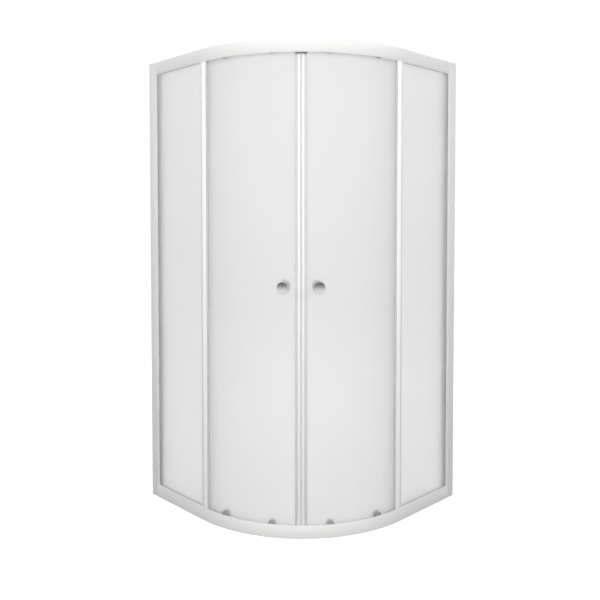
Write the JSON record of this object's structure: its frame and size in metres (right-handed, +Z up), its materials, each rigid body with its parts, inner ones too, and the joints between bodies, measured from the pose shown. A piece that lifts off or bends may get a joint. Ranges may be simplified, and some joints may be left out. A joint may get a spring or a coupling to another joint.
{
  "type": "quadrant shower enclosure",
  "caption": "Corner shower enclosure with flat fixed panes, curved frosted sliding doors on rollers, bent white rails and round chrome knobs.",
  "frame": {"origin": "middle of the square footprint, on the tray", "axes": "+Z up; the walls are at -X and +Y, and the curved corner faces +X, -Y"},
  "size_m": [0.895, 0.895, 1.8],
  "materials": {
    "white_aluminium": "white powder coat, satin",
    "frosted_glass": "frosted safety glass",
    "grey_gasket": "matt",
    "white_seal": "soft PVC, satin",
    "magnet": "ferrite-filled rubber",
    "chrome": "polished",
    "washer": "clear soft plastic",
    "steel": "bright stainless",
    "grey_cap": "satin grey",
    "acetal": "moulded",
    "nylon": "moulded",
    "white_plastic": "moulded"
  },
  "bodies": {
    "root": {"bottom_rail": "white_aluminium", "top_rail": "white_aluminium", "rail_screws": "steel", "post_screws": "steel", "post_end_caps": "white_plastic", "jamb_screws": "steel", "jamb_screw_covers": "white_plastic", "wall_channel_left": "white_aluminium", "wall_channel_right": "white_aluminium", "jamb_left": "white_aluminium", "jamb_right": "white_aluminium", "fixed_glass_left": "frosted_glass", "fixed_glass_right": "frosted_glass", "fixed_gasket_left": "grey_gasket", "fixed_gasket_right": "grey_gasket", "post_left": "white_aluminium", "post_right": "white_aluminium", "post_strip_left": "grey_gasket", "post_strip_right": "grey_gasket"},
    "door_left": {"door_glass_left": "frosted_glass", "magnet_seal_left": "white_seal", "magnet_strip_left": "magnet", "edge_seal_left": "white_seal", "knob_outside_left": "chrome", "knob_inside_left": "chrome", "knob_washers_left": "washer", "knob_screw_left": "steel", "roller_caps_left": "grey_cap", "roller_axles_left": "steel", "roller_bushes_left": "acetal", "roller_clips_left": "steel", "roller_sleeves_left": "acetal"},
    "roller_wheel_top_lead_left": {"roller_wheel_top_lead_left": "nylon"},
    "roller_wheel_top_trail_left": {"roller_wheel_top_trail_left": "nylon"},
    "roller_wheel_bottom_lead_left": {"roller_wheel_bottom_lead_left": "nylon"},
    "roller_wheel_bottom_trail_left": {"roller_wheel_bottom_trail_left": "nylon"},
    "door_right": {"door_glass_right": "frosted_glass", "magnet_seal_right": "white_seal", "magnet_strip_right": "magnet", "edge_seal_right": "white_seal", "knob_outside_right": "chrome", "knob_inside_right": "chrome", "knob_washers_right": "washer", "knob_screw_right": "steel", "roller_caps_right": "grey_cap", "roller_axles_right": "steel", "roller_bushes_right": "acetal", "roller_clips_right": "steel", "roller_sleeves_right": "acetal"},
    "roller_wheel_top_lead_right": {"roller_wheel_top_lead_right": "nylon"},
    "roller_wheel_top_trail_right": {"roller_wheel_top_trail_right": "nylon"},
    "roller_wheel_bottom_lead_right": {"roller_wheel_bottom_lead_right": "nylon"},
    "roller_wheel_bottom_trail_right": {"roller_wheel_bottom_trail_right": "nylon"}
  },
  "joints": [
    {"name": "door_slide_left", "type": "hinge", "parent": "root", "child": "door_left", "pos_m": [-0.14879, 0.30187, 0.9], "axis": [0, 0, -1], "range_deg": [0, 23.66]},
    {"name": "roller_spin_top_lead_left", "type": "hinge", "parent": "door_left", "child": "roller_wheel_top_lead_left", "pos_m": [-0.00651, -0.39516, 1.7727], "axis": [0.1736, -0.9848, 0], "continuous": true},
    {"name": "roller_spin_top_trail_left", "type": "hinge", "parent": "door_left", "child": "roller_wheel_top_trail_left", "pos_m": [0.17429, -0.32467, 1.7727], "axis": [0.5388, -0.8425, 0], "continuous": true},
    {"name": "roller_spin_bottom_lead_left", "type": "hinge", "parent": "door_left", "child": "roller_wheel_bottom_lead_left", "pos_m": [-0.00651, -0.39516, 0.0375], "axis": [0.1736, -0.9848, 0], "continuous": true},
    {"name": "roller_spin_bottom_trail_left", "type": "hinge", "parent": "door_left", "child": "roller_wheel_bottom_trail_left", "pos_m": [0.17429, -0.32467, 0.0375], "axis": [0.5388, -0.8425, 0], "continuous": true},
    {"name": "door_slide_right", "type": "hinge", "parent": "root", "child": "door_right", "pos_m": [-0.30187, 0.14879, 0.9], "axis": [0, 0, 1], "range_deg": [0, 23.66]},
    {"name": "roller_spin_top_lead_right", "type": "hinge", "parent": "door_right", "child": "roller_wheel_top_lead_right", "pos_m": [0.39516, 0.00651, 1.7727], "axis": [0.9848, -0.1736, 0], "continuous": true},
    {"name": "roller_spin_top_trail_right", "type": "hinge", "parent": "door_right", "child": "roller_wheel_top_trail_right", "pos_m": [0.32467, -0.17429, 1.7727], "axis": [0.8425, -0.5388, 0], "continuous": true},
    {"name": "roller_spin_bottom_lead_right", "type": "hinge", "parent": "door_right", "child": "roller_wheel_bottom_lead_right", "pos_m": [0.39516, 0.00651, 0.0375], "axis": [0.9848, -0.1736, 0], "continuous": true},
    {"name": "roller_spin_bottom_trail_right", "type": "hinge", "parent": "door_right", "child": "roller_wheel_bottom_trail_right", "pos_m": [0.32467, -0.17429, 0.0375], "axis": [0.8425, -0.5388, 0], "continuous": true}
  ],
  "couplings": [
    {"joint": "roller_spin_top_lead_left", "follows": "door_slide_left", "ratio": -50.796},
    {"joint": "roller_spin_top_trail_left", "follows": "door_slide_left", "ratio": -50.136},
    {"joint": "roller_spin_bottom_lead_left", "follows": "door_slide_left", "ratio": 50.796},
    {"joint": "roller_spin_bottom_trail_left", "follows": "door_slide_left", "ratio": 50.136},
    {"joint": "roller_spin_top_lead_right", "follows": "door_slide_right", "ratio": 50.796},
    {"joint": "roller_spin_top_trail_right", "follows": "door_slide_right", "ratio": 50.136},
    {"joint": "roller_spin_bottom_lead_right", "follows": "door_slide_right", "ratio": -50.796},
    {"joint": "roller_spin_bottom_trail_right", "follows": "door_slide_right", "ratio": -50.136}
  ]
}
